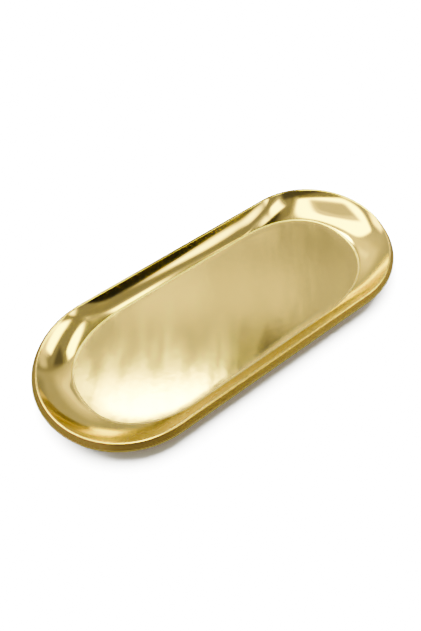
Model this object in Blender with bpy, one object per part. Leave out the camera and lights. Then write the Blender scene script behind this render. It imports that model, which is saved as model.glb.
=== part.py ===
"""Oval metal tray, pressed from one sheet.

The tray is a single piece of thin metal: a flat oval floor, a shallow step round it, a wall
that coves up to the rim, and a lip that turns over and hangs down outside the rim. The wall is
narrow and steep along the sides, and wide and gentle at the two ends.

Metres, +Z up. +X runs along the tray. The origin is the middle of the floor's underside, which
is the face the tray rests on.
"""
import math

import bmesh
import bpy
import numpy as np

# Overall size, measured over the lip and from the table to the crest of the rim
LENGTH = 0.231
WIDTH = 0.096
HEIGHT = 0.012

# The sheet
SHEET = 0.0006

# The wall, seen from above: how far it runs out from the floor to the crest
WALL_RUN_SIDE = 0.0094
WALL_RUN_END = 0.0194

# The step pressed round the floor
STEP_WIDTH = 0.0010
STEP_HEIGHT = 0.0003

# The wall's slope as it leaves the step and as it meets the rim, over its mean slope. The wall is
# nearly straight along the sides and hollow at the ends.
WALL_FOOT_SIDE = 0.65
WALL_FOOT_END = 0.30
WALL_HEAD_SIDE = 1.40
WALL_HEAD_END = 1.80

# The rim: its bend, and how far its lip reaches out and hangs down from the crest
CREST_RADIUS = 0.0012
LIP_REACH = 0.0030
LIP_DROP = 0.0039

# The round ends: how far each reaches along the tray, and how full the floor's shoulders are.
# A power of 2 gives half an ellipse, and a higher one a fuller curve.
CREST_END = 0.0474
FLOOR_END = 0.0495
FLOOR_POWER = 2.25

# How finely the shape is cut: facets along a side, round an end, up the wall and over the bend
SIDE_FACETS = 12
END_FACETS = 40
WALL_FACETS = 6
BEND_FACETS = 6

# How often the search for the floor's edge halves its range, which takes it below rounding error
EDGE_HALVINGS = 50

# A ring this far inside the floor's edge keeps the flat of the floor flat on both faces
FLOOR_MARGIN = 0.002

# The metal: gold-toned steel with a satin polish
METAL_COLOUR = (0.90, 0.68, 0.19, 1.0)
METAL_ROUGHNESS = 0.25


def clear_scene():
    """Remove whatever the start-up file holds."""
    for item in list(bpy.data.objects):
        bpy.data.objects.remove(item, do_unlink=True)


def gold_metal():
    """A plain metallic finish in the tray's colour."""
    metal = bpy.data.materials.new("gold_metal")
    metal.use_nodes = True
    shader = metal.node_tree.nodes["Principled BSDF"]
    shader.inputs["Base Color"].default_value = METAL_COLOUR
    shader.inputs["Metallic"].default_value = 1.0
    shader.inputs["Roughness"].default_value = METAL_ROUGHNESS
    return metal


def crest_line():
    """Points and outward directions along the crest of the rim, counter-clockwise from +X.

    Two straight sides are joined by half ellipses. A half ellipse's outward direction is its
    cosine over the length of the end and its sine over the half width, made one unit long.
    """
    half_length = LENGTH / 2 - LIP_REACH
    half_width = WIDTH / 2 - LIP_REACH
    straight = half_length - CREST_END
    turn = np.linspace(-math.pi / 2, math.pi / 2, END_FACETS + 1)
    end = np.column_stack((straight + CREST_END * np.cos(turn), half_width * np.sin(turn)))
    end_out = np.column_stack((np.cos(turn) / CREST_END, np.sin(turn) / half_width))
    along = np.linspace(straight, -straight, SIDE_FACETS + 1)[1:-1]
    side = np.column_stack((along, np.full_like(along, half_width)))
    side_out = np.column_stack((np.zeros_like(along), np.ones_like(along)))
    points = np.vstack((end, side, -end, -side))
    outward = np.vstack((end_out, side_out, -end_out, -side_out))
    outward /= np.linalg.norm(outward, axis=1, keepdims=True)
    return points, outward


def beyond_floor(points):
    """Below 1 inside the floor's oval, 1 on its edge, and above 1 outside.

    The oval has straight sides, and its ends follow the sum of two powers: the share of the end's
    length and the share of the half width, each raised to FLOOR_POWER, add up to 1.
    """
    half_length = LENGTH / 2 - LIP_REACH - WALL_RUN_END
    half_width = WIDTH / 2 - LIP_REACH - WALL_RUN_SIDE
    into_end = np.maximum(np.abs(points[:, 0]) - (half_length - FLOOR_END), 0.0)
    return (into_end / FLOOR_END) ** FLOOR_POWER + (np.abs(points[:, 1]) / half_width) ** FLOOR_POWER


def wall_runs(points, outward):
    """How far the wall runs, at each point of the crest, square inward to the floor's edge.

    The edge is found by halving: the near bound stays outside the oval, the far bound inside.
    """
    near = np.zeros(len(points))
    far = np.full(len(points), WIDTH / 2 - LIP_REACH)
    for _ in range(EDGE_HALVINGS):
        middle = (near + far) / 2
        inside = beyond_floor(points - outward * middle[:, None]) < 1.0
        far = np.where(inside, middle, far)
        near = np.where(inside, near, middle)
    return (near + far) / 2


def section(run):
    """The upper face of the sheet where the wall runs out by `run`: (out, up) from the floor's edge.

    The wall is a curve with one control point, where the slope at its foot crosses the slope at
    its head. The rim is an arc that starts on the wall's head slope and ends where it touches the
    straight line to the edge of the lip.
    """
    crest_up = HEIGHT - SHEET
    outline = [(-FLOOR_MARGIN, 0.0), (0.0, 0.0)]

    toward_end = (run - WALL_RUN_SIDE) / (WALL_RUN_END - WALL_RUN_SIDE)
    foot_share = WALL_FOOT_SIDE + (WALL_FOOT_END - WALL_FOOT_SIDE) * toward_end
    head_share = WALL_HEAD_SIDE + (WALL_HEAD_END - WALL_HEAD_SIDE) * toward_end
    head_slope = head_share * (crest_up - STEP_HEIGHT) / (run - STEP_WIDTH)
    head_turn = math.atan(head_slope)
    foot = (STEP_WIDTH, STEP_HEIGHT)
    head = (run - CREST_RADIUS * math.sin(head_turn), crest_up - CREST_RADIUS * (1 - math.cos(head_turn)))
    wide, tall = head[0] - foot[0], head[1] - foot[1]
    foot_slope = foot_share * tall / wide
    knee_out = (head_slope * wide - tall) / (head_slope - foot_slope)
    knee = (foot[0] + knee_out, foot[1] + foot_slope * knee_out)
    for number in range(WALL_FACETS + 1):
        share = number / WALL_FACETS
        weights = ((1 - share) ** 2, 2 * share * (1 - share), share ** 2)
        out, up = (sum(w * p[axis] for w, p in zip(weights, (foot, knee, head))) for axis in (0, 1))
        outline.append((out, up))

    edge_out, edge_up = LIP_REACH, CREST_RADIUS - LIP_DROP
    lip_turn = math.atan2(edge_out, edge_up) - math.acos(CREST_RADIUS / math.hypot(edge_out, edge_up))
    turns = list(np.linspace(head_turn, 0.0, BEND_FACETS // 2 + 1)[1:])
    turns += list(np.linspace(0.0, -lip_turn, BEND_FACETS // 2 + 1)[1:])
    for turn in turns:
        outline.append((run - CREST_RADIUS * math.sin(turn), crest_up - CREST_RADIUS * (1 - math.cos(turn))))
    outline.append((run + LIP_REACH, crest_up - LIP_DROP))
    return outline


def pressed_sheet():
    """The upper face of the tray as rings of four-sided faces round one flat face, the floor."""
    points, outward = crest_line()
    runs = wall_runs(points, outward)
    shape = bmesh.new()
    stations = []
    for point, out, run in zip(points, outward, runs):
        floor_edge = point - out * run
        column = []
        for reach, up in section(run):
            place = floor_edge + out * reach
            column.append(shape.verts.new((place[0], place[1], SHEET + up)))
        stations.append(column)
    for here, there in zip(stations, stations[1:] + stations[:1]):
        for level in range(len(here) - 1):
            shape.faces.new((here[level], here[level + 1], there[level + 1], there[level]))
    shape.faces.new([column[0] for column in stations])
    bmesh.ops.recalc_face_normals(shape, faces=shape.faces)
    if shape.faces[-1].normal.z < 0:
        bmesh.ops.reverse_faces(shape, faces=shape.faces)
    mesh = bpy.data.meshes.new("tray")
    shape.to_mesh(mesh)
    shape.free()
    mesh.shade_smooth()
    return mesh


def build_tray():
    """The whole tray: the pressed face, given the thickness of the sheet below it."""
    tray = bpy.data.objects.new("tray", pressed_sheet())
    bpy.context.scene.collection.objects.link(tray)
    tray.data.materials.append(gold_metal())
    sheet = tray.modifiers.new("sheet", "SOLIDIFY")
    sheet.thickness = SHEET
    sheet.offset = -1.0
    sheet.use_even_offset = True
    sheet.use_quality_normals = True
    return tray


clear_scene()
build_tray()
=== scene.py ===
# %% [markdown]
# This lesson dresses one thin metal tray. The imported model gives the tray's box, its body and the
# node to stand for. Everything below is worked out from that box and a few sizes of the sheet.

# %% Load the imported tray
import math

import bpy
import numpy as np
from mathutils import Matrix, Vector


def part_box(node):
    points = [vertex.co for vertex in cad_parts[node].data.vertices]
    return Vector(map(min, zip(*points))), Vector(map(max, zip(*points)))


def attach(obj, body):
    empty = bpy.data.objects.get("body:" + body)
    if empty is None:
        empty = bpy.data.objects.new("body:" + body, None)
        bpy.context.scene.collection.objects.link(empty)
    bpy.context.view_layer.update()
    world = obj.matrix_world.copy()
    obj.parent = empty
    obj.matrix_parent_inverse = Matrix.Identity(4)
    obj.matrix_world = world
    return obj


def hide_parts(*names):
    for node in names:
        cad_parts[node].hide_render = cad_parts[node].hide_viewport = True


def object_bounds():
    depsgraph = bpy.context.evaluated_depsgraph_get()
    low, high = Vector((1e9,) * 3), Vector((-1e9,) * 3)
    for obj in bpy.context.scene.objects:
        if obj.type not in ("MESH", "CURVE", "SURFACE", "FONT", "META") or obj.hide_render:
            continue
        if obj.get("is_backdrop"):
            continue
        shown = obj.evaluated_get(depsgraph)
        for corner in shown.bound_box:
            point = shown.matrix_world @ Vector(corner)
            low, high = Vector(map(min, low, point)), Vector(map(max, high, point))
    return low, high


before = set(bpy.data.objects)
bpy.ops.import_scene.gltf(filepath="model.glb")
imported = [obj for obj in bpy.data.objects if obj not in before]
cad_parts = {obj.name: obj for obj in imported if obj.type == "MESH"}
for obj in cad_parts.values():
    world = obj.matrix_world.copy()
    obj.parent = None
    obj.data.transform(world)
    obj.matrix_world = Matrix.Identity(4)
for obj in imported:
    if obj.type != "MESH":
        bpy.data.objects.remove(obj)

cad_low, cad_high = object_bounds()
tray_low, tray_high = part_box("tray")
LENGTH, WIDTH, HEIGHT = tray_high - tray_low
MM = 0.001
print("tray box in mm:", [round(size / MM, 2) for size in (LENGTH, WIDTH, HEIGHT)])

# %% [markdown]
# The tray is stamped from one sheet, so a handful of sizes describes it: the sheet, the step round
# the floor, how far the wall runs out, and the bend and the lip of the rim. The wall is narrow and
# steep along the sides and wide at the ends, so its run has two values. Its slopes at the foot and
# at the head are shares of its mean slope. The bend over the crest is a little tighter than in the
# packed tray, as the far rim shows in the photograph.
#
# The two ovals, one for the rim and one for the floor, have rounded ends of different lengths, and
# the floor's shoulders are fuller: its power is above the 2 of an ellipse.

# %% Sizes of the sheet
SHEET = 0.6 * MM
STEP_WIDTH = 1.0 * MM
STEP_HEIGHT = 0.3 * MM
WALL_RUN_SIDE = 9.4 * MM
WALL_RUN_END = 19.4 * MM
WALL_FOOT_SIDE = 0.65
WALL_FOOT_END = 0.30
WALL_HEAD_SIDE = 1.40
WALL_HEAD_END = 1.80
CREST_RADIUS = 0.8 * MM
LIP_REACH = 3.0 * MM
LIP_DROP = 3.9 * MM
CREST_END = 47.4 * MM
FLOOR_END = 49.5 * MM
FLOOR_POWER = 2.25

CREST_UP = HEIGHT - SHEET
CREST_HALF_LENGTH = LENGTH / 2 - LIP_REACH
CREST_HALF_WIDTH = WIDTH / 2 - LIP_REACH
print("crest above the floor in mm:", round(CREST_UP / MM, 2))

# %% [markdown]
# The rim seen from above is a line round the tray. Two straight sides meet two half ellipses. A
# curve object could draw it, but the wall needs the outward direction at every point too, and a
# formula gives both at once for a whole array of stations.

# %% The line of the crest
SIDE_STATIONS = 70
END_STATIONS = 150


def crest_line():
    """Points and outward directions along the crest, counter-clockwise from the near right corner.

    On an end the point is the end's length times the cosine and the half width times the sine of
    one angle; the outward direction is the cosine over the length and the sine over the half
    width, made one unit long. On a side it is simply across the tray.
    """
    straight = CREST_HALF_LENGTH - CREST_END
    turn = np.linspace(-math.pi / 2, math.pi / 2, END_STATIONS + 1)
    end = np.column_stack((straight + CREST_END * np.cos(turn), CREST_HALF_WIDTH * np.sin(turn)))
    end_out = np.column_stack((np.cos(turn) / CREST_END, np.sin(turn) / CREST_HALF_WIDTH))
    along = np.linspace(straight, -straight, SIDE_STATIONS + 1)[1:-1]
    side = np.column_stack((along, np.full_like(along, CREST_HALF_WIDTH)))
    side_out = np.column_stack((np.zeros_like(along), np.ones_like(along)))
    points = np.vstack((end, side, -end, -side))
    outward = np.vstack((end_out, side_out, -end_out, -side_out))
    return points, outward / np.linalg.norm(outward, axis=1, keepdims=True)


crest_points, crest_outward = crest_line()
print("stations round the rim:", len(crest_points))

# %% [markdown]
# The wall runs from the crest square inward to the edge of the floor. That edge is an oval too, and
# where the two ovals are apart decides how gentle the wall is there. A search that halves its range
# finds the edge for every station at once.

# %% How far the wall runs at each station
EDGE_HALVINGS = 50


def beyond_floor(points):
    """Below 1 inside the floor's oval and above 1 outside.

    It is the share of the end's length and the share of the half width, each raised to the floor's
    power and added.
    """
    half_length = CREST_HALF_LENGTH - WALL_RUN_END
    half_width = CREST_HALF_WIDTH - WALL_RUN_SIDE
    into_end = np.maximum(np.abs(points[:, 0]) - (half_length - FLOOR_END), 0.0)
    return (into_end / FLOOR_END) ** FLOOR_POWER + (np.abs(points[:, 1]) / half_width) ** FLOOR_POWER


def wall_runs(points, outward):
    """The run of the wall at each station: half the range again and again, keeping the edge inside."""
    near = np.zeros(len(points))
    far = np.full(len(points), CREST_HALF_WIDTH)
    for _ in range(EDGE_HALVINGS):
        middle = (near + far) / 2
        inside = beyond_floor(points - outward * middle[:, None]) < 1.0
        far = np.where(inside, middle, far)
        near = np.where(inside, near, middle)
    return (near + far) / 2


runs = wall_runs(crest_points, crest_outward)
print("wall run in mm, least and most:", round(runs.min() / MM, 2), round(runs.max() / MM, 2))

# %% [markdown]
# Cut across, the sheet is a line: flat floor, a soft step, a hollow wall that grows steeper, a tight
# bend over the crest and a straight lip. The line is worked out for all stations at once, as two
# arrays with a row for each station and a column for each level. Its direction is worked out too,
# because the underside is the same line moved down by the sheet's thickness.

# %% The line across the sheet
STEP_LEVELS = 10
WALL_LEVELS = 44
BEND_LEVELS = 20
LIP_LEVELS = 5


def across(run):
    """(out, up) from the floor's edge for each station and level.

    The step rises as half a cosine wave. The wall is a curve with one control point, where the
    slope at its foot crosses the slope at its head. The bend is an arc from the wall's slope to the
    lip's, and the lip is straight.
    """
    run = run[:, None]
    share = np.linspace(0, 1, STEP_LEVELS + 1)[None]
    step_out = STEP_WIDTH * share + 0 * run
    step_up = STEP_HEIGHT * (1 - np.cos(math.pi * share)) / 2 + 0 * run

    toward_end = (run - WALL_RUN_SIDE) / (WALL_RUN_END - WALL_RUN_SIDE)
    foot_share = WALL_FOOT_SIDE + (WALL_FOOT_END - WALL_FOOT_SIDE) * toward_end
    head_share = WALL_HEAD_SIDE + (WALL_HEAD_END - WALL_HEAD_SIDE) * toward_end
    head_slope = head_share * (CREST_UP - STEP_HEIGHT) / (run - STEP_WIDTH)
    head_turn = np.arctan(head_slope)
    wide = run - CREST_RADIUS * np.sin(head_turn) - STEP_WIDTH
    tall = CREST_UP - CREST_RADIUS * (1 - np.cos(head_turn)) - STEP_HEIGHT
    foot_slope = foot_share * tall / wide
    knee = (head_slope * wide - tall) / (head_slope - foot_slope)
    share = np.linspace(0, 1, WALL_LEVELS + 1)[None, 1:]
    wall_out = STEP_WIDTH + 2 * share * (1 - share) * knee + share ** 2 * wide
    wall_up = STEP_HEIGHT + 2 * share * (1 - share) * foot_slope * knee + share ** 2 * tall

    edge_up = CREST_RADIUS - LIP_DROP
    lip_turn = math.atan2(LIP_REACH, edge_up) - math.acos(CREST_RADIUS / math.hypot(LIP_REACH, edge_up))
    share = np.linspace(0, 1, BEND_LEVELS + 1)[None, 1:]
    turn = head_turn * (1 - share) - lip_turn * share
    bend_out = run - CREST_RADIUS * np.sin(turn)
    bend_up = CREST_UP - CREST_RADIUS * (1 - np.cos(turn))

    share = np.linspace(0, 1, LIP_LEVELS + 1)[None, 1:]
    lip_out = bend_out[:, -1:] + share * (run + LIP_REACH - bend_out[:, -1:])
    lip_up = bend_up[:, -1:] + share * (CREST_UP - LIP_DROP - bend_up[:, -1:])
    outs = np.hstack((step_out, wall_out, bend_out, lip_out))
    ups = np.hstack((step_up, wall_up, bend_up, lip_up))
    return outs, ups


section_out, section_up = across(runs)
print("levels from the floor's edge to the lip's edge:", section_out.shape[1])

# %% [markdown]
# The underside follows the upper face at the sheet's thickness. Moving each point against the
# line's own normal keeps the metal the same thickness in the bend, where moving it straight down
# would pinch it. The cut edge of the lip is a half round between the two faces.

# %% The underside and the cut edge
EDGE_LEVELS = 4
EDGE_BULGE = 0.15


def underside(outs, ups):
    """The line moved in by the sheet: each point goes against the unit normal of the line there."""
    slope_out = np.gradient(outs, axis=1)
    slope_up = np.gradient(ups, axis=1)
    size = np.hypot(slope_out, slope_up)
    return outs + SHEET * slope_up / size, ups - SHEET * slope_out / size


def cut_edge(outs, ups, under_outs, under_ups):
    """A shallow half round from the upper face's edge to the underside's.

    Each point is the middle of the edge, plus half the thickness times the cosine of an angle, plus
    a bulge along the lip times its sine.
    """
    turn = np.linspace(0, math.pi, EDGE_LEVELS + 2)[None, 1:-1]
    bulge = EDGE_BULGE * SHEET
    along_out = outs[:, -1:] - outs[:, -2:-1]
    along_up = ups[:, -1:] - ups[:, -2:-1]
    size = np.hypot(along_out, along_up)
    places = []
    for line, under, along in ((outs, under_outs, along_out), (ups, under_ups, along_up)):
        middle = (line[:, -1:] + under[:, -1:]) / 2
        half = (line[:, -1:] - under[:, -1:]) / 2
        places.append(middle + half * np.cos(turn) + along / size * bulge * np.sin(turn))
    return places


under_out, under_up = underside(section_out, section_up)
edge_out, edge_up = cut_edge(section_out, section_up, under_out, under_up)
print("cut edge levels:", edge_out.shape[1])

# %% [markdown]
# The floor inside its edge is flat. It is filled with rings that shrink in equal steps to one point
# in the middle, so that both faces close without a hole.

# %% The whole skin as one grid
FLOOR_RINGS = 12


def rings_to_points(outs, ups, floor_edge, outward):
    """Stations by levels by three: the floor's edge plus the outward direction times `outs`."""
    flat = floor_edge[:, None] + outward[:, None] * outs[..., None]
    return np.concatenate((flat, ups[..., None] + SHEET), axis=2)


def floor_rings(rim, up):
    """The ring `rim` shrunk in equal steps towards the middle, at the height `up`."""
    share = np.linspace(0, 1, FLOOR_RINGS + 1)[None, 1:-1, None]
    flat = rim[:, None, :2] * share
    return np.concatenate((flat, np.full(flat.shape[:2] + (1,), up)), axis=2)


floor_edge = crest_points - crest_outward * runs[:, None]
upper = rings_to_points(section_out, section_up, floor_edge, crest_outward)
edge = rings_to_points(edge_out, edge_up, floor_edge, crest_outward)
lower = rings_to_points(under_out, under_up, floor_edge, crest_outward)[:, ::-1]
upper_floor = floor_rings(upper[:, 0], SHEET)
lower_floor = floor_rings(lower[:, -1], 0.0)[:, ::-1]
grid = np.concatenate((upper_floor, upper, edge, lower, lower_floor), axis=1)
FLOOR_COLUMN = upper_floor.shape[1]
LIP_EDGE_COLUMN = FLOOR_COLUMN + upper.shape[1] - 1
print("grid of stations by levels:", grid.shape[:2])

# %% [markdown]
# One sheet of metal still has several finishes: the floor is satin, the step round it is tinted paler
# to paint a thin light line, the wall is bright, clear lines from the drawing tool run along the lip
# and the outer half of the bend, the lip is tinted deeper as painted shade, the cut edge is tinted pale
# to paint a highlight and the underside is dull. Each column of faces gets one of them. Lines that
# follow the rim need a map that follows it too, so the mesh carries two lengths: along the rim, and
# across the sheet. Object coordinates could not bend with the rim.

# %% Which finish each column has, and the map along the rim
FINISHES = ("satin_floor", "pressed_step", "bright_wall", "drawn_lip", "cut_edge", "plain_underside")


def finish_of_column(columns):
    """The number of the finish for each column of faces, from the middle of the floor outwards."""
    finish = np.full(columns - 1, FINISHES.index("plain_underside"))
    finish[:LIP_EDGE_COLUMN + EDGE_LEVELS + 1] = FINISHES.index("cut_edge")
    finish[:LIP_EDGE_COLUMN - 1] = FINISHES.index("drawn_lip")
    finish[:LIP_EDGE_COLUMN - LIP_LEVELS - BEND_LEVELS // 2] = FINISHES.index("bright_wall")
    finish[:FLOOR_COLUMN + STEP_LEVELS] = FINISHES.index("pressed_step")
    finish[:FLOOR_COLUMN] = FINISHES.index("satin_floor")
    return finish


def sheet_lengths(grid):
    """Metres along the floor's edge at each station, and across the sheet at each point.

    Each is a running sum of straight steps. Along has one value more than there are stations, for
    the way round. Across is counted from the floor's edge.
    """
    ring = grid[:, FLOOR_COLUMN]
    along = np.cumsum(np.linalg.norm(np.roll(ring, -1, axis=0) - ring, axis=1))
    over = np.cumsum(np.linalg.norm(np.diff(grid, axis=1), axis=2), axis=1)
    over = np.hstack((np.zeros((len(grid), 1)), over))
    return np.concatenate(((0.0,), along)), over - over[:, FLOOR_COLUMN:FLOOR_COLUMN + 1]


def corner_map(along, over):
    """The two lengths at the four corners of each face, with no jump where the rim closes."""
    there = np.roll(over, -1, axis=0)
    high = np.stack((over[:, :-1], over[:, 1:], there[:, 1:], there[:, :-1]), axis=2)
    start = np.broadcast_to(along[:-1, None], high.shape[:2])
    end = np.broadcast_to(along[1:, None], high.shape[:2])
    return np.stack((np.stack((start, start, end, end), axis=2), high), axis=3)


along_rim, over_sheet = sheet_lengths(grid)
column_finish = finish_of_column(grid.shape[1])
print("once round the floor's edge in mm:", round(along_rim[-1] / MM, 1))

# %% [markdown]
# The grid becomes a mesh of four-sided faces, with a fan of triangles round each middle point. The
# arrays go in whole, with foreach_set, which is much quicker than adding faces one by one.

# %% Put it into Blender
def skin(grid):
    """Points, four-sided faces and the two fans that close the skin at its middle points."""
    stations, levels = grid.shape[:2]
    number = np.arange(stations * levels).reshape(stations, levels)
    there = np.roll(number, -1, axis=0)
    quads = np.stack((number[:, :-1], number[:, 1:], there[:, 1:], there[:, :-1]), axis=2)
    top = stations * levels
    top_fan = np.column_stack((np.full(stations, top), number[:, 0], there[:, 0]))
    bottom_fan = np.column_stack((np.full(stations, top + 1), there[:, -1], number[:, -1]))
    middles = np.array(((0.0, 0.0, SHEET), (0.0, 0.0, 0.0)))
    return np.vstack((grid.reshape(-1, 3), middles)), quads, np.vstack((top_fan, bottom_fan))


def fan_map(along, over):
    """The two lengths at the corners of both fans: the middle point takes its neighbour's place."""
    start, end = along[:-1], along[1:]
    halves = []
    for level, order in ((over[:, 0], (start, start, end)), (over[:, -1], (start, end, start))):
        halves.append(np.stack((np.column_stack(order), np.repeat(level[:, None], 3, axis=1)), axis=2))
    return np.vstack(halves)


def mesh_from_arrays(name, points, quads, fans, quad_places, fan_places, finish):
    """A mesh whose vertices, corners, faces, map and finishes are set as whole arrays."""
    flat_quads = quads.reshape(-1, 4)
    corners = np.concatenate((flat_quads.ravel(), fans.ravel()))
    fan_starts = flat_quads.size + np.arange(len(fans)) * 3
    starts = np.concatenate((np.arange(len(flat_quads)) * 4, fan_starts))
    mesh = bpy.data.meshes.new(name)
    mesh.vertices.add(len(points))
    mesh.vertices.foreach_set("co", points.astype(np.float32).ravel())
    mesh.loops.add(len(corners))
    mesh.loops.foreach_set("vertex_index", corners.astype(np.int32))
    mesh.polygons.add(len(starts))
    mesh.polygons.foreach_set("loop_start", starts.astype(np.int32))
    mesh.update(calc_edges=True)
    places = np.concatenate((quad_places.ravel(), fan_places.ravel()))
    mesh.uv_layers.new(name="sheet").uv.foreach_set("vector", places.astype(np.float32))
    mesh.polygons.foreach_set("material_index", finish.astype(np.int32))
    mesh.shade_smooth()
    return mesh


points, quads, fans = skin(grid)
half_fan = len(fans) // 2
face_finish = np.concatenate((
    np.broadcast_to(column_finish, quads.shape[:2]).ravel(),
    np.full(half_fan, FINISHES.index("satin_floor")),
    np.full(half_fan, FINISHES.index("plain_underside")),
))
quad_places = corner_map(along_rim, over_sheet)
fan_places = fan_map(along_rim, over_sheet)
tray_mesh = mesh_from_arrays("gold_tray", points, quads, fans, quad_places, fan_places, face_finish)
tray = bpy.data.objects.new("gold_tray", tray_mesh)
bpy.context.scene.collection.objects.link(tray)
print("faces:", len(tray_mesh.polygons), "mesh is sound:", not tray_mesh.validate())

# %% [markdown]
# Every finish below is a small tree of shader nodes. Four helpers keep the trees short: one links or
# sets a socket, one adds a node and fills its sockets by name, one does arithmetic, and one makes a
# group with named sockets. A group is the way to use an effect twice: it is drawn once, and each
# material puts it in with its own numbers.

# %% Helpers for shader nodes
def join(tree, value, socket):
    """Link `value` to `socket` if it is an output, or else set it as the socket's own number."""
    if isinstance(value, bpy.types.NodeSocket):
        tree.links.new(value, socket)
    else:
        socket.default_value = value


def add(tree, kind, inputs=(), **settings):
    """A new node of a kind, with settings by name and inputs by name or place."""
    node = tree.nodes.new(kind)
    for name, value in settings.items():
        setattr(node, name, value)
    for name, value in dict(inputs).items():
        join(tree, value, node.inputs[name])
    return node


def calculate(tree, operation, *values):
    """The output of one Math node."""
    return add(tree, "ShaderNodeMath", dict(enumerate(values)), operation=operation).outputs[0]


def new_group(name, inputs, outputs):
    """An empty group with its input and output nodes: sockets are given as name and type."""
    group = bpy.data.node_groups.new(name, "ShaderNodeTree")
    for label, kind in inputs:
        group.interface.new_socket(label, in_out="INPUT", socket_type="NodeSocket" + kind)
    for label, kind in outputs:
        group.interface.new_socket(label, in_out="OUTPUT", socket_type="NodeSocket" + kind)
    return group, add(group, "NodeGroupInput").outputs, add(group, "NodeGroupOutput").inputs


# %% [markdown]
# Satin metal is covered with tiny hollows from blasting or fine sanding. Up close they are bumps of
# a few thousandths of a millimetre, and further away they only soften the reflection. Two layers of
# noise make them: grains near the grain size, and a coarser unevenness five times as wide. The
# group gives a height for a Bump node and a mask of the higher grains, which may take another tint.

# %% Group: fine grain
FINE_DETAIL = 3.0
COARSE_DETAIL = 2.0
COARSE_SHARE = 0.45
COARSE_TIMES = 5.0
HIGH_GRAIN_FROM, HIGH_GRAIN_TO = 0.45, 0.70


def noise(tree, place, scale, detail):
    """The grey value of one Noise Texture, between 0 and 1 and mostly near the middle."""
    inputs = {"Vector": place, "Scale": scale, "Detail": detail}
    return add(tree, "ShaderNodeTexNoise", inputs).outputs["Fac"]


def fine_grain_group():
    """Height and mask of a fine grain: two noises, the coarse one mixed in by a fixed share."""
    group, given, result = new_group(
        "fine_grain",
        (("Vector", "Vector"), ("Grain Size", "Float")),
        (("Height", "Float"), ("High Grains", "Float")),
    )
    fine_scale = calculate(group, "DIVIDE", 1.0, given["Grain Size"])
    coarse_scale = calculate(group, "DIVIDE", fine_scale, COARSE_TIMES)
    fine = noise(group, given["Vector"], fine_scale, FINE_DETAIL)
    coarse = noise(group, given["Vector"], coarse_scale, COARSE_DETAIL)
    coarse_part = calculate(group, "MULTIPLY", coarse, COARSE_SHARE * COARSE_TIMES)
    join(group, calculate(group, "ADD", fine, coarse_part), result["Height"])
    spread = add(group, "ShaderNodeMapRange", {
        "Value": fine, "From Min": HIGH_GRAIN_FROM, "From Max": HIGH_GRAIN_TO})
    join(group, spread.outputs["Result"], result["High Grains"])
    return group


fine_grain = fine_grain_group()
print("group:", fine_grain.name)

# %% [markdown]
# When the sheet is drawn over the die, the tool leaves hair-fine lines that follow the rim. Seen
# from a step away they spread the reflection across the lines and leave it sharp along them. The
# group stretches a noise along the map's first length, so its cells are long and thin.

# %% Group: drawn lines
def drawn_lines_group():
    """Height of long thin lines: the map divided by a length and a spacing feeds one noise."""
    group, given, result = new_group(
        "drawn_lines",
        (("Map", "Vector"), ("Line Length", "Float"), ("Line Spacing", "Float")),
        (("Height", "Float"),),
    )
    parts = add(group, "ShaderNodeSeparateXYZ", {"Vector": given["Map"]}).outputs
    along = calculate(group, "DIVIDE", parts["X"], given["Line Length"])
    over = calculate(group, "DIVIDE", parts["Y"], given["Line Spacing"])
    place = add(group, "ShaderNodeCombineXYZ", {"X": along, "Y": over}).outputs["Vector"]
    join(group, noise(group, place, 1.0, FINE_DETAIL), result["Height"])
    return group


drawn_lines = drawn_lines_group()
print("group:", drawn_lines.name)

# %% [markdown]
# No polished tray is even all over. Broad patches are a little cloudier than the rest, where the
# wheel dwelt or a cloth wiped. The group gives a soft mask for them, which may be turned and
# stretched along one direction, and each material lets it change its finish only a little.

# %% Group: polishing clouds
CLOUD_FROM, CLOUD_TO = 0.32, 0.68


def polishing_clouds_group():
    """A soft mask from 0 to 1: noise on coordinates that are turned and then divided by a size each."""
    group, given, result = new_group(
        "polishing_clouds",
        (("Vector", "Vector"), ("Turn", "Vector"), ("Size", "Vector")),
        (("Mask", "Float"),),
    )
    turned = add(group, "ShaderNodeVectorRotate", {
        "Vector": given["Vector"], "Rotation": given["Turn"]}, rotation_type="EULER_XYZ")
    place = add(group, "ShaderNodeVectorMath", {
        0: turned.outputs["Vector"], 1: given["Size"]}, operation="DIVIDE").outputs["Vector"]
    spread = add(group, "ShaderNodeMapRange", {
        "Value": noise(group, place, 1.0, COARSE_DETAIL), "From Min": CLOUD_FROM, "From Max": CLOUD_TO,
    }, interpolation_type="SMOOTHSTEP")
    join(group, spread.outputs["Result"], result["Mask"])
    return group


polishing_clouds = polishing_clouds_group()
print("group:", polishing_clouds.name)

# %% [markdown]
# The colour is a thin hard coat over steel, so the metal itself is tinted and nothing is painted on
# top. In a Principled shader that is Metallic 1 with the tint as Base Color: the reflections then
# carry the gold. Five tints do for all six finishes, and each finish moves between two of them.
# They are paler than the tray looks, because light that bounces twice is tinted twice.

# %% The tints and the common start of a metal
GOLD = (0.91, 0.76, 0.38, 1.0)
DEEP_GOLD = (0.88, 0.72, 0.33, 1.0)
# PALE_GOLD paints highlights: the light line of the step and the pale line of the cut edge.
PALE_GOLD = (0.94, 0.80, 0.50, 1.0)
WARM_GOLD = (0.90, 0.69, 0.40, 1.0)
# BRONZE_GOLD darkens the lip: painted shade.
BRONZE_GOLD = (0.74, 0.53, 0.26, 1.0)


def new_metal(name):
    """A material with Metallic 1, with its tree and its shader."""
    material = bpy.data.materials.new(name)
    material.use_nodes = True
    tree = material.node_tree
    shader = tree.nodes["Principled BSDF"]
    shader.inputs["Metallic"].default_value = 1.0
    return material, tree, shader


print("tints:", [tint[:3] for tint in (GOLD, DEEP_GOLD, PALE_GOLD, WARM_GOLD, BRONZE_GOLD)])

# %% [markdown]
# The trees have more in common than their start. Each reads a place, either in the object's own
# coordinates or on the map that follows the rim. Masks become tints or roughnesses, and heights
# become normals. A helper for each of these lets a finish read as a short recipe.

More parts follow.
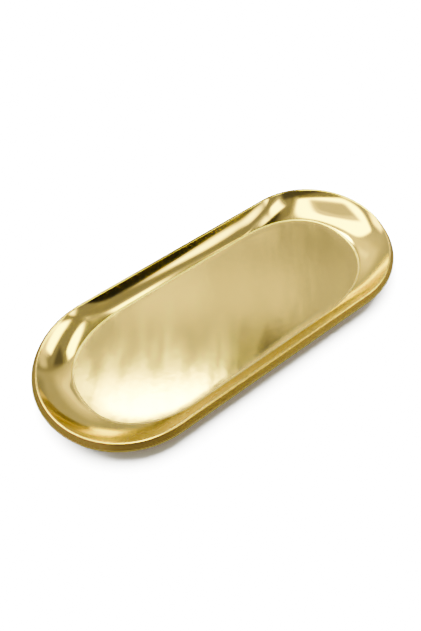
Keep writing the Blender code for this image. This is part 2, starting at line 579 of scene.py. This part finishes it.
# %% What the metals have in common
def on_object(tree):
    """A point's place in the object's own coordinates."""
    return add(tree, "ShaderNodeTexCoord").outputs["Object"]


def place_group(tree, group, inputs):
    """The outputs of a group placed in a tree with its own values."""
    return add(tree, "ShaderNodeGroup", inputs, node_tree=group).outputs


def tint_between(tree, mask, first, second):
    """The colour between two tints by a mask."""
    mix = add(tree, "ShaderNodeMix", {"Factor": mask}, data_type="RGBA")
    mix.inputs["A"].default_value = first
    mix.inputs["B"].default_value = second
    return mix.outputs["Result"]


def number_between(tree, mask, first, second):
    """The number between two numbers by a mask."""
    spread = add(tree, "ShaderNodeMapRange", {"Value": mask, "To Min": first, "To Max": second})
    return spread.outputs["Result"]


def bump_from(tree, height):
    """A normal from a height in metres."""
    bump = add(tree, "ShaderNodeBump", {"Strength": 1.0, "Distance": 1.0, "Height": height})
    return bump.outputs["Normal"]


def lines_on_sheet(tree, length, spacing, depth):
    """The height of lines that follow the rim, from 0 to 1, and the normal that they give."""
    sheet = add(tree, "ShaderNodeUVMap", uv_map="sheet").outputs["UV"]
    lines = place_group(tree, drawn_lines, {
        "Map": sheet, "Line Length": length, "Line Spacing": spacing})["Height"]
    return lines, bump_from(tree, calculate(tree, "MULTIPLY", lines, depth))


print("groups to place:", [group.name for group in (fine_grain, drawn_lines, polishing_clouds)])

# %% [markdown]
# The floor is the largest face and it is satin. Its reflections are soft, with a fine grain on top,
# and where the bright end of the studio meets it the light breaks up in broad soft streaks. Those
# come from the sheet being not quite flat: clouds stretched one way, a few hundredths of a
# millimetre high, tip the surface by a fraction of a degree.

# %% Satin floor
FLOOR_ROUGHNESS = 0.08
FLOOR_ROUGHNESS_CLOUDY = 0.13
FLOOR_GRAIN = 0.7 * MM
FLOOR_GRAIN_DEPTH = 0.0045 * MM
FLOOR_STREAK = (13 * MM, 42 * MM, 1.0)
FLOOR_STREAK_DEPTH = 0.030 * MM
FLOOR_STREAK_TURN = (0.0, 0.0, math.radians(40))


def satin_floor():
    """Gold with a soft reflection: grain and streaks in the height, clouds in the roughness."""
    material, tree, shader = new_metal("satin_floor")
    place = on_object(tree)
    grain = place_group(tree, fine_grain, {"Vector": place, "Grain Size": FLOOR_GRAIN})
    streak = place_group(tree, polishing_clouds, {
        "Vector": place, "Turn": FLOOR_STREAK_TURN, "Size": FLOOR_STREAK})["Mask"]
    fine = calculate(tree, "MULTIPLY", grain["Height"], FLOOR_GRAIN_DEPTH)
    height = calculate(tree, "MULTIPLY_ADD", streak, FLOOR_STREAK_DEPTH, fine)
    roughness = number_between(tree, streak, FLOOR_ROUGHNESS, FLOOR_ROUGHNESS_CLOUDY)
    join(tree, bump_from(tree, height), shader.inputs["Normal"])
    join(tree, roughness, shader.inputs["Roughness"])
    join(tree, tint_between(tree, grain["High Grains"], GOLD, DEEP_GOLD), shader.inputs["Base Color"])
    return material


floor_metal = satin_floor()
print("material:", floor_metal.name)

# %% [markdown]
# The step is where the die pinched the sheet. It is rougher than the rest and tinted paler, a painted
# highlight, so it shows as a thin light line round the floor and doesn't mirror one dark corner of the
# room.

# %% Pressed step
STEP_ROUGHNESS = 0.34
STEP_CLOUD = (20 * MM, 20 * MM, 20 * MM)


def pressed_step():
    """Paler gold, a painted highlight line, with a blurred reflection; clouds let the line fade in
    places.
    """
    material, tree, shader = new_metal("pressed_step")
    cloud = place_group(tree, polishing_clouds, {"Vector": on_object(tree), "Size": STEP_CLOUD})["Mask"]
    shader.inputs["Roughness"].default_value = STEP_ROUGHNESS
    # The paler tint paints a light line round the floor.
    join(tree, tint_between(tree, cloud, PALE_GOLD, GOLD), shader.inputs["Base Color"])
    return material


step_metal = pressed_step()
print("material:", step_metal.name)

# %% [markdown]
# The wall and the rim are polished with the lines of the drawing tool still just there. The
# reflection is nearly a mirror's on the far side. Towards the near side the polish is duller, as
# the photograph's smooth gradients there show, so the roughness follows the distance along one
# direction, and clouds change it slightly from place to place.

# %% Bright wall
WALL_ROUGHNESS = 0.06
WALL_ROUGHNESS_SATIN = 0.27
WALL_ROUGHNESS_CLOUDS = 0.02
WALL_SATIN_TOWARDS = (-0.1, -1.0, 0.0)
WALL_SATIN_FROM = 2 * MM
WALL_SATIN_TO = 46 * MM
WALL_LINE_LENGTH = 40 * MM
WALL_LINE_SPACING = 0.5 * MM
WALL_LINE_DEPTH = 0.0012 * MM
WALL_CLOUD = (14 * MM, 14 * MM, 14 * MM)


def bright_wall():
    """Gold with a nearly sharp reflection, drawn lines in the height and clouds in the roughness."""
    material, tree, shader = new_metal("bright_wall")
    place = on_object(tree)
    cloud = place_group(tree, polishing_clouds, {"Vector": place, "Size": WALL_CLOUD})["Mask"]
    towards = add(tree, "ShaderNodeVectorMath", {
        0: place, 1: WALL_SATIN_TOWARDS}, operation="DOT_PRODUCT").outputs["Value"]
    satin = add(tree, "ShaderNodeMapRange", {
        "Value": towards, "From Min": WALL_SATIN_FROM, "From Max": WALL_SATIN_TO,
        "To Min": WALL_ROUGHNESS, "To Max": WALL_ROUGHNESS_SATIN}).outputs["Result"]
    roughness = calculate(tree, "MULTIPLY_ADD", cloud, WALL_ROUGHNESS_CLOUDS, satin)
    _, normal = lines_on_sheet(tree, WALL_LINE_LENGTH, WALL_LINE_SPACING, WALL_LINE_DEPTH)
    join(tree, normal, shader.inputs["Normal"])
    join(tree, roughness, shader.inputs["Roughness"])
    join(tree, tint_between(tree, cloud, GOLD, DEEP_GOLD), shader.inputs["Base Color"])
    return material


wall_metal = bright_wall()
print("material:", wall_metal.name)

# %% [markdown]
# The lip is bent over the hardest, and there the lines are deep enough to be seen one by one. The
# colour is a shade deeper too: that deeper tint is painted shade.

# %% Drawn lip
LIP_ROUGHNESS = 0.23
LIP_LINE_LENGTH = 120 * MM
LIP_LINE_SPACING = 0.8 * MM
LIP_LINE_DEPTH = 0.008 * MM


def drawn_lip():
    """Deep gold with clear lines along the rim; the deeper gold is painted shade."""
    material, tree, shader = new_metal("drawn_lip")
    lines, normal = lines_on_sheet(tree, LIP_LINE_LENGTH, LIP_LINE_SPACING, LIP_LINE_DEPTH)
    join(tree, normal, shader.inputs["Normal"])
    shader.inputs["Roughness"].default_value = LIP_ROUGHNESS
    # The bronze tint follows the lines, which are real marks, and darkens the whole lip as painted
    # shade.
    join(tree, tint_between(tree, lines, WARM_GOLD, BRONZE_GOLD), shader.inputs["Base Color"])
    return material


lip_metal = drawn_lip()
print("material:", lip_metal.name)

# %% [markdown]
# The cut edge was sheared and then smoothed. It is tinted pale, a painted highlight, so it shows as a
# thin pale line all the way round.

# %% Cut edge
EDGE_ROUGHNESS = 0.32
EDGE_LINE_LENGTH = 14 * MM
EDGE_LINE_SPACING = 0.4 * MM
EDGE_LINE_DEPTH = 0.002 * MM


def edge_with_painted_highlight():
    """Pale gold, a painted highlight, duller than the faces, with faint marks along it from the shear.
    """
    material, tree, shader = new_metal("cut_edge")
    marks, normal = lines_on_sheet(tree, EDGE_LINE_LENGTH, EDGE_LINE_SPACING, EDGE_LINE_DEPTH)
    join(tree, normal, shader.inputs["Normal"])
    shader.inputs["Roughness"].default_value = EDGE_ROUGHNESS
    # The pale tint paints the highlight along the cut edge.
    join(tree, tint_between(tree, marks, PALE_GOLD, GOLD), shader.inputs["Base Color"])
    return material


edge_metal = edge_with_painted_highlight()
print("material:", edge_metal.name)

# %% [markdown]
# Nobody polishes the underside. It keeps the sheet's own matt finish, with a coarser grain and
# cloudier patches, and the photograph doesn't show it.

# %% Plain underside
UNDER_ROUGHNESS = 0.30
UNDER_ROUGHNESS_CLOUDY = 0.42
UNDER_GRAIN = 0.9 * MM
UNDER_GRAIN_DEPTH = 0.004 * MM
UNDER_CLOUD = (25 * MM, 18 * MM, 18 * MM)


def plain_underside():
    """Gold with a dull reflection, a coarse grain and clouds."""
    material, tree, shader = new_metal("plain_underside")
    place = on_object(tree)
    grain = place_group(tree, fine_grain, {"Vector": place, "Grain Size": UNDER_GRAIN})["Height"]
    cloud = place_group(tree, polishing_clouds, {"Vector": place, "Size": UNDER_CLOUD})["Mask"]
    height = calculate(tree, "MULTIPLY", grain, UNDER_GRAIN_DEPTH)
    roughness = number_between(tree, cloud, UNDER_ROUGHNESS, UNDER_ROUGHNESS_CLOUDY)
    join(tree, bump_from(tree, height), shader.inputs["Normal"])
    join(tree, roughness, shader.inputs["Roughness"])
    join(tree, tint_between(tree, cloud, GOLD, DEEP_GOLD), shader.inputs["Base Color"])
    return material


under_metal = plain_underside()
print("material:", under_metal.name)

# %% [markdown]
# The mesh takes the finishes in the order of its face numbers. The piece then rides on the tray's
# one body and stands in for the imported solid.

# %% Dress the tray
for metal in (floor_metal, step_metal, wall_metal, lip_metal, edge_metal, under_metal):
    tray_mesh.materials.append(metal)
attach(tray, "root")
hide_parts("tray")
print("finishes on the tray:", [metal.name for metal in tray_mesh.materials])

# %% [markdown]
# The tray stands on a white sweep, as for a product photograph. Polished metal mirrors the sweep in
# its lip, and in the photograph that reflection is dark, because the paper near the tray was in
# shade. One surface can't be bright to the camera and dark in the mirror, so the paper looks at
# which kind of ray asks. To the camera it is lit by the lamps, and to every other ray it gives off
# one dim tone.
#
# The paper's own colour is set very dark and the lamps very strong, so that the tinted studio adds
# next to nothing to it. A faint painted glow, seen by the camera only, warms the shade under the lip
# in place of light thrown back by the gold.

# %% The white sweep
SWEEP_HALF = 3.0
SWEEP_DROP = 0.2 * MM
SWEEP_CORNERS = ((-1, -1), (1, -1), (1, 1), (-1, 1))
PAPER_SEEN = (0.05, 0.05, 0.05, 1.0)
# A painted warm glow on the paper, in place of light that the gold throws into the shade.
SHADE_GLOW = (0.10, 0.070, 0.034, 1.0)
PAPER_UNLIT = (0.0, 0.0, 0.0, 1.0)
PAPER_MIRRORED = (0.33, 0.305, 0.155, 1.0)


def white_sweep():
    """A large flat sheet just under the tray."""
    corners = [(x * SWEEP_HALF, y * SWEEP_HALF, -SWEEP_DROP) for x, y in SWEEP_CORNERS]
    mesh = bpy.data.meshes.new("white_sweep")
    mesh.from_pydata(corners, [], [(0, 1, 2, 3)])
    sweep = bpy.data.objects.new("white_sweep", mesh)
    bpy.context.scene.collection.objects.link(sweep)
    return sweep


def sweep_paper():
    """Paper lit by the lamps to the camera, with a faint painted warm glow; one dim tone to every other
    ray.
    """
    paper = bpy.data.materials.new("sweep_paper")
    paper.use_nodes = True
    tree = paper.node_tree
    shader = tree.nodes["Principled BSDF"]
    shader.inputs["Roughness"].default_value = 1.0
    shader.inputs["Specular IOR Level"].default_value = 0.0
    seen = add(tree, "ShaderNodeLightPath").outputs["Is Camera Ray"]
    join(tree, tint_between(tree, seen, PAPER_UNLIT, PAPER_SEEN), shader.inputs["Base Color"])
    join(tree, tint_between(tree, seen, PAPER_MIRRORED, SHADE_GLOW), shader.inputs["Emission Color"])
    shader.inputs["Emission Strength"].default_value = 1.0
    return paper


sweep = white_sweep()
sweep.data.materials.append(sweep_paper())
sweep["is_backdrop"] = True
print("sweep is", 2 * SWEEP_HALF, "m wide")

# %% [markdown]
# Two broad lamps light the paper. The main one stands low behind the tray, whitens the paper and
# lays a soft shadow in front of the lip. A weak one overhead lets the shadow fade from the lip on.
# They are sun lamps with wide discs, so only their directions matter. The metal must not mirror
# them, so they are left out of glossy reflections: those come from the studio built next.

# %% The lamps over the paper
LAMP_AZIMUTH = 20
MAIN_ELEVATION, MAIN_WIDTH, MAIN_STRENGTH = 35, 106, 1150.0
FILL_ELEVATION, FILL_WIDTH, FILL_STRENGTH = 80, 150, 24.0


def direction(azimuth, elevation):
    """A unit vector: azimuth 0 is +Y and 90 is +X, and elevation is above the table, in degrees."""
    turn, rise = math.radians(azimuth), math.radians(elevation)
    return Vector((math.sin(turn) * math.cos(rise), math.cos(turn) * math.cos(rise), math.sin(rise)))


def paper_lamp(name, elevation, width, strength):
    """A sun lamp with a wide disc that no glossy ray sees."""
    data = bpy.data.lights.new(name, "SUN")
    data.energy = strength
    data.angle = math.radians(width)
    lamp = bpy.data.objects.new(name, data)
    bpy.context.scene.collection.objects.link(lamp)
    lamp.rotation_euler = direction(LAMP_AZIMUTH, elevation).to_track_quat("Z", "Y").to_euler()
    lamp.visible_glossy = False
    return lamp


main_lamp = paper_lamp("main_lamp", MAIN_ELEVATION, MAIN_WIDTH, MAIN_STRENGTH)
fill_lamp = paper_lamp("fill_lamp", FILL_ELEVATION, FILL_WIDTH, FILL_STRENGTH)
print("lamps:", main_lamp.name, fill_lamp.name, "from azimuth", LAMP_AZIMUTH)

# %% [markdown]
# Everything that makes polished gold look like gold is the room in its mirror. The studio is painted
# on the sky: soft boxes, a reflector and dark flags, each a patch with straight edges and soft
# borders. An edge is a great circle, and a direction is inside it where its dot product with the
# edge's own side vector is above zero. The group multiplies such edges one after the other.

# %% Group: one soft edge of a patch of light
def soft_edge_group():
    """The mask so far times a smooth step of the dot product with the side, over the softness."""
    group, given, result = new_group(
        "soft_edge",
        (("Direction", "Vector"), ("Side", "Vector"), ("Softness", "Float"), ("Mask", "Float")),
        (("Mask", "Float"),),
    )
    inside = add(group, "ShaderNodeVectorMath", {
        0: given["Direction"], 1: given["Side"]}, operation="DOT_PRODUCT").outputs["Value"]
    below = calculate(group, "MULTIPLY", given["Softness"], -1.0)
    step = add(group, "ShaderNodeMapRange", {
        "Value": inside, "From Min": below, "From Max": given["Softness"],
    }, interpolation_type="SMOOTHSTEP").outputs["Result"]
    join(group, calculate(group, "MULTIPLY", step, given["Mask"]), result["Mask"])
    return group


soft_edge = soft_edge_group()
print("group:", soft_edge.name)

# %% [markdown]
# The patches are set from what each part of the tray mirrors in the photograph. The far
# wall mirrors the front of the room, the near wall the back, and the ends look up to the sides.
# Later patches lie over earlier ones. Each row has a name, the corners, the softness of the border
# and the brightness. Corners are azimuth and elevation, both in degrees as the softness is, and
# each patch must be convex.

# %% The patches of light and shade
ROOM_LEVEL = 0.50
STUDIO = (
    ("back wall", ((-23, 14), (23, 17), (67, 50), (51, 84), (-43, 44)), 12, 0.82),
    ("back glow", ((-10, 22), (10, 23), (29, 54), (6, 68), (-21, 46)), 6, 1.3),
    ("back streak", ((-4, 38), (4, 39), (15, 53), (8, 57)), 3, 2.1),
    ("right dome", ((22, 15), (40, 20), (74, 19), (89, 18), (86, 62)), 8, 0.8),
    ("right haze", ((33, 31), (48, 31), (71, 28), (85, 29), (75, 61)), 5, 1.05),
    ("right glow", ((39, 44), (49, 39), (74, 34), (78, 38), (63, 58)), 3, 1.5),
    ("right flag", ((57, -4), (70, -8), (90, -2), (87, 9)), 5, 0.3),
    ("front right", ((93, 0), (130, 0), (180, 0), (180, 60), (91, 62)), 2.5, 0.32),
    ("front left", ((180, 0), (220, 0), (265, 0), (265, 60), (180, 80)), 3, 0.3),
    ("low flag", ((-120, 33), (-167, 39), (168, 29), (172, -3), (-143, -10), (-120, 10)), 3, 0.11),
    ("front middle", (
        (62, 66), (75, 62), (100, 60), (128, 55), (150, 34), (163, 34), (165, 48), (110, 74)), 3, 0.07),
    ("right foot", ((138, 6), (155, 8), (155, -6), (138, -6)), 3, 0.13),
    ("black foot", ((154, 9), (168, 9), (185, 0), (185, -8), (154, -8)), 2, 0.025),
    ("dark band", ((93, 43), (97, 26), (118, 30), (110, 37)), 3, 0.14),
    ("low side glow", ((97, 17), (97, 9), (117, 2), (113, 13)), 3, 1.0),
    ("low box halo", ((107, 18), (110, 8), (142, 5), (149, 12)), 3, 1.6),
    ("right box", (
        (88, 57), (91, 50), (108, 43), (120, 41),
        (148, 32), (155, 29), (141, 42), (118, 52)), 1.5, 8.0),
    ("low box", ((109, 21), (113, 14), (139, 14), (148, 19), (143, 22), (120, 24)), 2, 8.0),
    ("low spot", ((154, 17), (151, 10), (153, 6), (161, 11)), 2, 6.0),
    ("left box halo", (
        (-10, 58), (23, 69), (113, 79), (170, 65), (-171, 39), (-161, 47), (-91, 74)), 4, 1.4),
    ("left box", (
        (-35, 37), (-11, 61), (22, 74), (119, 81), (180, 60),
        (-168, 42), (-150, 45), (-105, 41), (-86, 40), (-67, 39)), 2, 8.0),
    ("front foot halo", ((154, 46), (155, 26), (170, 23), (174, 44)), 4, 0.9),
    ("front foot box", ((156, 44), (156.5, 31), (158, 27), (168, 27), (172, 43)), 2, 7.0),
    ("reflector", ((-53, 47), (-86, 82), (-141, 79), (-153, 47), (-96, 45)), 3, 1.5),
    ("reflector shade", ((-66, 50), (-84, 70), (-130, 71), (-146, 53), (-96, 47)), 3, 0.9),
    ("outer left box", ((-29, 22), (-50, 22), (-70, 32), (-43, 32)), 2, 5.0),
    ("back gap", ((20, 8), (42, 8), (44, 38), (38, 47), (27, 47)), 4, 0.43),
    ("ceiling", ((18, 61), (18, 47), (62, 46), (62, 61)), 1.5, 0.68),
    ("ceiling glow", ((27, 51.5), (41, 51.5), (41, 55.5), (27, 55.5)), 2, 1.5),
    ("ceiling middle", ((41, 51), (53, 51), (53, 55.5), (42, 56)), 1.5, 1.15),
    ("ceiling end", ((46, 45), (63, 45), (63, 49.5), (49, 49.5)), 1.5, 0.48),
    ("ceiling box", ((18.5, 61.3), (42, 61.3), (42.5, 65.2), (18, 65.4)), 1.2, 24.0),
    ("ceiling flag", ((43.5, 56.3), (57, 54.8), (64, 61), (44.5, 65)), 1.5, 0.2),
)
print("patches in the studio:", len(STUDIO))

# %% [markdown]
# The light is tinted as well as the metal, because the photograph's dim gold is greyer and its bright
# gold yellower than one tint gives. The tint goes by the level: dim light is the palest, brighter
# light is a deeper orange, the soft boxes are a greener yellow, and the brightest is paler again. A
# Color Ramp does this in one node. The camera doesn't see the studio, only plain white beyond the
# paper.

# %% The studio in the sky
TINT_LEVELS = (
    (0.15, (1.0, 0.94, 0.70, 1.0)),
    (1.0, (1.0, 0.89, 0.42, 1.0)),
    (2.5, (1.0, 0.87, 0.25, 1.0)),
    (8.0, (1.0, 1.07, 0.12, 1.0)),
    (20.0, (1.0, 0.90, 0.30, 1.0)),
)
BACKDROP_WHITE = 10.0


def edge_sides(corners):
    """The unit vector square to each edge's great circle, on the side of the patch's middle."""
    points = [direction(*corner) for corner in corners]
    middle = sum(points, Vector())
    sides = []
    for first, second in zip(points, points[1:] + points[:1]):
        side = first.cross(second).normalized()
        sides.append(side if side.dot(middle) > 0 else -side)
    return sides


def patch_mask(tree, ray, corners, softness):
    """1 inside a patch and 0 outside it: the soft steps at its edges, multiplied."""
    mask = 1.0
    border = math.sin(math.radians(softness))
    for side in edge_sides(corners):
        mask = place_group(tree, soft_edge, {
            "Direction": ray, "Side": side, "Softness": border, "Mask": mask})["Mask"]
    return mask


def tint_of_level(tree, level):
    """The colour of the light at a level: a ramp over the level's share of the highest one."""
    highest = TINT_LEVELS[-1][0]
    ramp = add(tree, "ShaderNodeValToRGB", {"Fac": calculate(tree, "DIVIDE", level, highest)})
    stops = ramp.color_ramp.elements
    while len(stops) < len(TINT_LEVELS):
        stops.new(1.0)
    for stop, (stop_level, tint) in zip(stops, TINT_LEVELS):
        stop.position = stop_level / highest
        stop.color = tint
    return ramp.outputs["Color"]


def studio_world():
    """Patches mixed over the room's level one after the other, and plain white to the camera."""
    world = bpy.data.worlds.new("studio")
    world.use_nodes = True
    tree = world.node_tree
    tree.nodes.clear()
    ray = add(tree, "ShaderNodeTexCoord").outputs["Generated"]
    level = ROOM_LEVEL
    for name, corners, softness, strength in STUDIO:
        mask = patch_mask(tree, ray, corners, softness)
        over = add(tree, "ShaderNodeMix", {"Factor": mask, "A": level, "B": strength}, label=name)
        level = over.outputs["Result"]
    room = add(tree, "ShaderNodeBackground", {"Color": tint_of_level(tree, level), "Strength": level})
    backdrop = add(tree, "ShaderNodeBackground", {"Strength": BACKDROP_WHITE})
    seen = add(tree, "ShaderNodeLightPath").outputs["Is Camera Ray"]
    both = add(tree, "ShaderNodeMixShader", {0: seen, 1: room.outputs[0], 2: backdrop.outputs[0]})
    add(tree, "ShaderNodeOutputWorld", {"Surface": both.outputs[0]})
    return world


bpy.context.scene.world = studio_world()
print("nodes in the sky:", len(bpy.context.scene.world.node_tree.nodes))

# %% [markdown]
# The camera stands where the photographer stood: its angles, distance and lens were found from the
# ovals of the floor and the rim. It looks down on the tray from its near left corner, a little
# rolled. Medium high contrast in AgX keeps the gold's highlights pale and its shadows brown.

# %% The camera
FOCAL_PIXELS = 674.2
FRAME_HEIGHT = 631
SENSOR = 36.0
NEAREST, FURTHEST = 0.01, 20.0
CAMERA_AZIMUTH, CAMERA_ELEVATION, CAMERA_ROLL = -40.446, 55.590, 2.857
CAMERA_TARGET = Vector((-8.25, 2.37, 0.6)) * MM
CAMERA_DISTANCE = 380.41 * MM


def photo_camera():
    """A camera on a sphere round its target, rolled about its own line of sight.

    Its azimuth is 0 in front of the tray, on the side of -Y, and the lens is the focal length in
    pixels over the frame's height, times the sensor's height.
    """
    angles = (CAMERA_AZIMUTH, CAMERA_ELEVATION, CAMERA_ROLL)
    turn, rise, roll = (math.radians(angle) for angle in angles)
    back = Vector((math.sin(turn) * math.cos(rise), -math.cos(turn) * math.cos(rise), math.sin(rise)))
    level_right = (-back).cross(Vector((0, 0, 1))).normalized()
    level_up = level_right.cross(-back)
    right = math.cos(roll) * level_right + math.sin(roll) * level_up
    up = -math.sin(roll) * level_right + math.cos(roll) * level_up
    data = bpy.data.cameras.new("photo_camera")
    data.sensor_fit = "VERTICAL"
    data.sensor_height = SENSOR
    data.lens = FOCAL_PIXELS / FRAME_HEIGHT * SENSOR
    data.clip_start = NEAREST
    data.clip_end = FURTHEST
    camera = bpy.data.objects.new("photo_camera", data)
    facing = Matrix((right, up, back)).transposed().to_4x4()
    camera.matrix_world = Matrix.Translation(CAMERA_TARGET + back * CAMERA_DISTANCE) @ facing
    return camera


camera = photo_camera()
bpy.context.scene.collection.objects.link(camera)
bpy.context.scene.camera = camera
bpy.context.scene.view_settings.view_transform = "AgX"
bpy.context.scene.view_settings.look = "AgX - Medium High Contrast"
print("lens in mm:", round(camera.data.lens, 2))

# %% [markdown]
# At the end the two boxes are measured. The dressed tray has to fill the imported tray's box and not
# reach past it.

# %% Sizes and the end
low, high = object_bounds()
corner_pairs = zip((*low, *high), (*cad_low, *cad_high))
differences = [round((seen - packed) / MM, 3) for seen, packed in corner_pairs]
print("visual box minus CAD box in mm:", differences)
